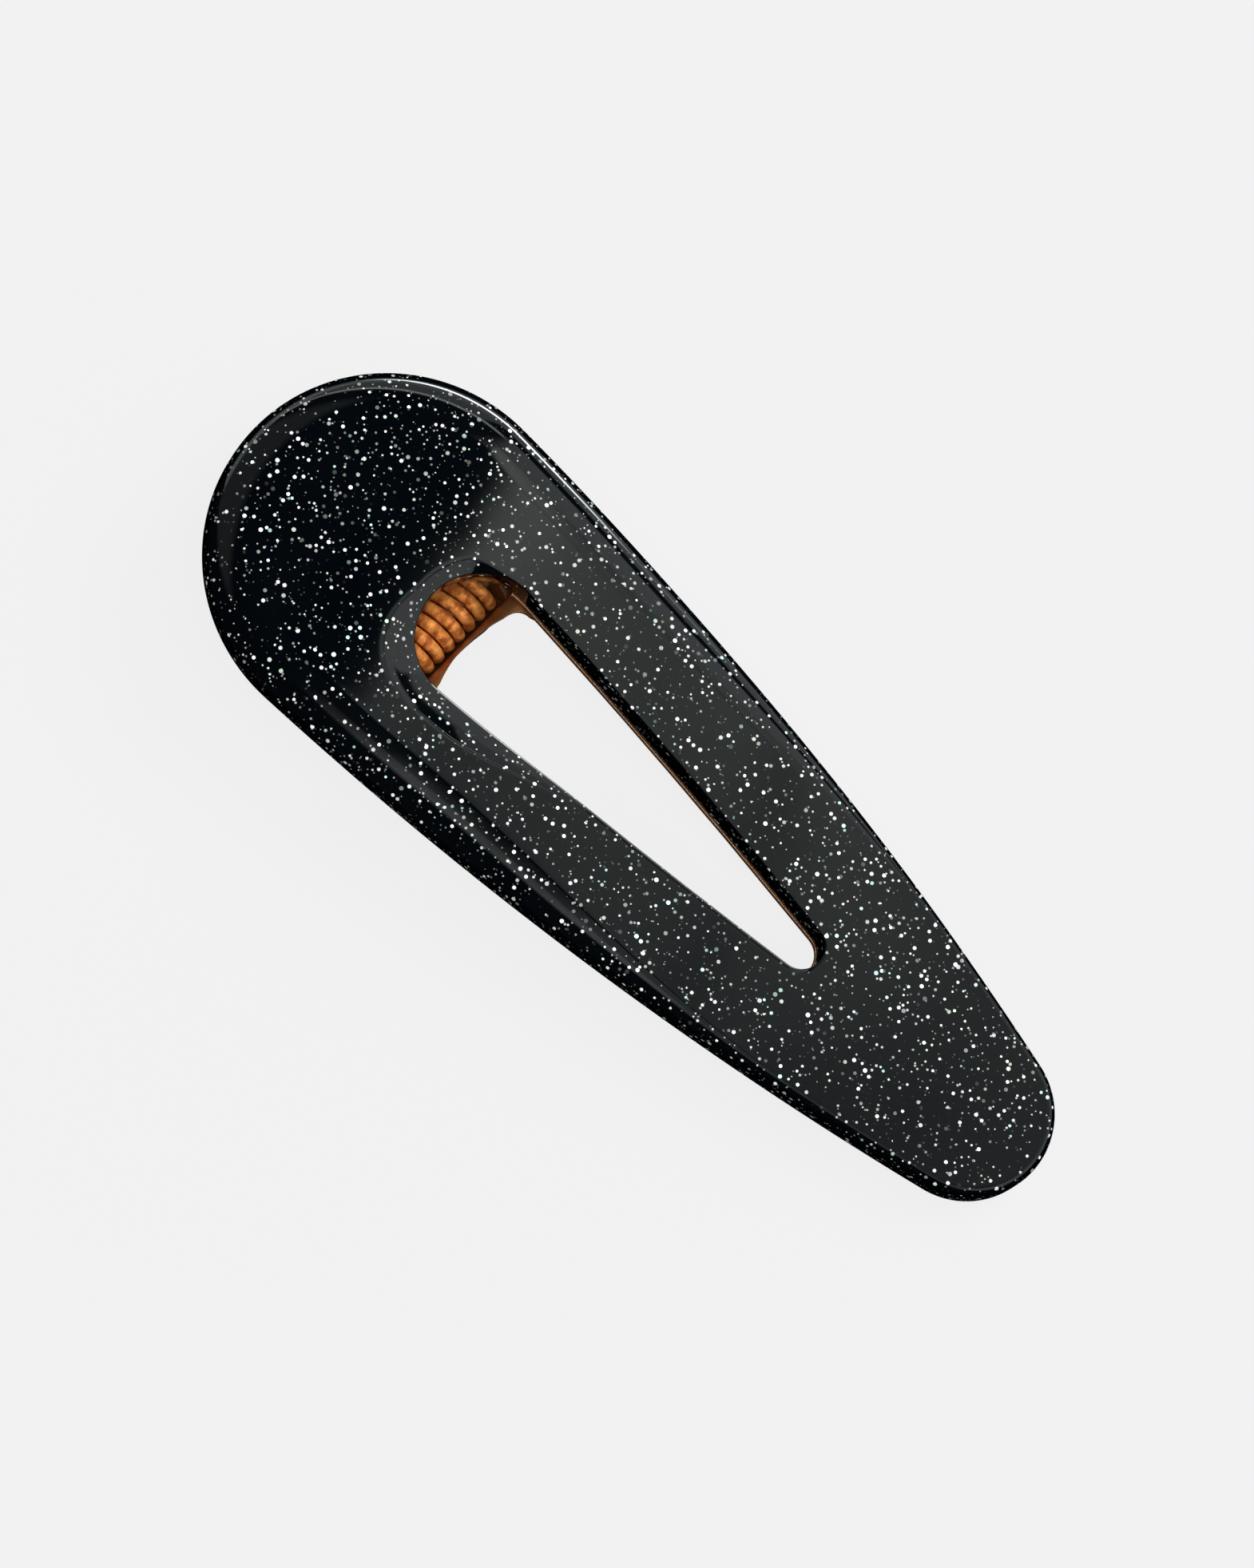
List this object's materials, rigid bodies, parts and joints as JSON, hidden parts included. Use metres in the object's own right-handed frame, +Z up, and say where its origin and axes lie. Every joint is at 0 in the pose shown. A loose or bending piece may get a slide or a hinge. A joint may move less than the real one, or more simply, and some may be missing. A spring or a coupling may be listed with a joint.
{
  "type": "hair clip",
  "caption": "Teardrop alligator hair clip: a glossy black glitter acetate plate with a teardrop opening, bonded on a sprung, stamped copper-tone clip that pinches open.",
  "frame": {"origin": "on the ground under the middle of the clip's box, with the clip lying closed on its pinch tab's end and its jaw's tip", "axes": "+X along the clip from the wide end to the tip, +Y across it along the hinge pin, +Z up; the plate's top face leans 6.76 degrees from level, down towards the tip"},
  "size_m": [0.0698, 0.0248, 0.012],
  "materials": {
    "glitter_acetate": "polished black cellulose acetate with silver glitter inside",
    "clear_glue": "thin translucent adhesive",
    "copper_sheet": "copper-tone plated sheet, satin",
    "copper_pin": "copper-tone plated pin with peened heads",
    "copper_wire": "copper-tone plated spring wire, bright"
  },
  "bodies": {
    "lower_lever": {"lower_jaw": "copper_sheet", "torsion_spring": "copper_wire"},
    "upper_lever": {"acetate_plate": "glitter_acetate", "glue_film": "clear_glue", "upper_frame": "copper_sheet", "hinge_pin": "copper_pin"}
  },
  "joints": [
    {"name": "clip_hinge", "type": "hinge", "parent": "lower_lever", "child": "upper_lever", "pos_m": [-0.01823, 0, 0.00395], "axis": [0, -1, 0], "range_deg": [0, 24], "stiffness_Nm_per_rad": 0.05, "springref_deg": -17.19, "deforming": ["torsion_spring"]}
  ]
}
